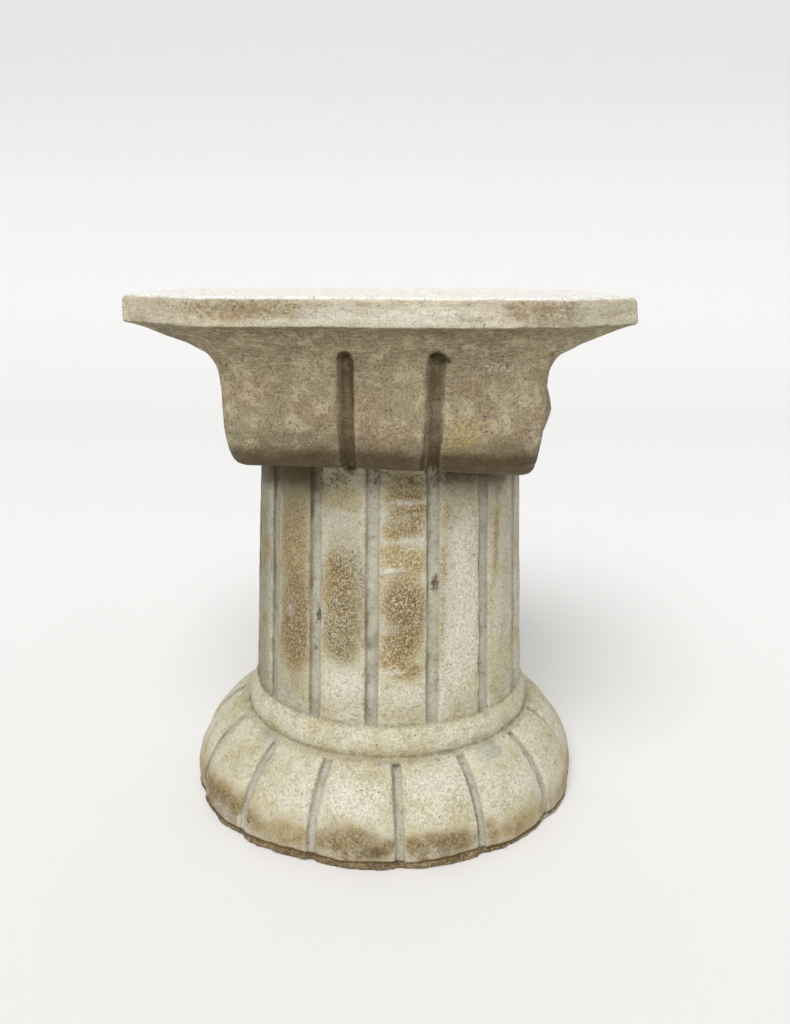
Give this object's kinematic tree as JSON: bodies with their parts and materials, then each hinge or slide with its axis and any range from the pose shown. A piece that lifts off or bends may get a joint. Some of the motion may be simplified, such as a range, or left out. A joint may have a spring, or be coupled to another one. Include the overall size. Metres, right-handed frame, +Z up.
{
  "type": "column pedestal",
  "caption": "Short Ionic column pedestal in painted plaster with a square cut-cornered slab, bolster capital, fluted shaft and lobed base",
  "frame": {"origin": "on the floor, under the middle of the square top slab", "axes": "+Z up; the bolster side of the capital faces -Y and the volute ends face -X and +X"},
  "size_m": [0.435, 0.435, 0.508],
  "materials": {
    "plaster": "matt cream paint over cast plaster, browned and worn"
  },
  "bodies": {
    "root": {"column_pedestal": "plaster"}
  },
  "joints": []
}
